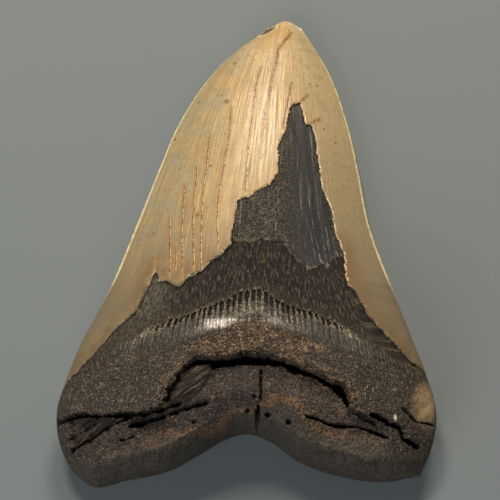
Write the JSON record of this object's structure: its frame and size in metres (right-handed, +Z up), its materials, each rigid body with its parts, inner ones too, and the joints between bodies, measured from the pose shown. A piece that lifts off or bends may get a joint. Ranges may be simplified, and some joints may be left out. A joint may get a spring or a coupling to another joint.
{
  "type": "megalodon tooth fossil",
  "caption": "Large fossil shark tooth lying on its flat face, with a pointed crown, partly broken enamel and a cracked root with a shallow arch between its lobes.",
  "frame": {"origin": "centre of the bounding box in plan, on the surface that the tooth lies on", "axes": "+Y from the root to the tip along the tooth's length, +X across its width, +Z up out of the curved lingual face"},
  "size_m": [0.107, 0.142, 0.0315],
  "materials": {
    "fossil_tooth": "mineralised tooth: honey-tan glossy enamel over dark grey-brown dentine, and a rough dark brown root"
  },
  "bodies": {
    "root": {"tooth": "fossil_tooth"}
  },
  "joints": []
}
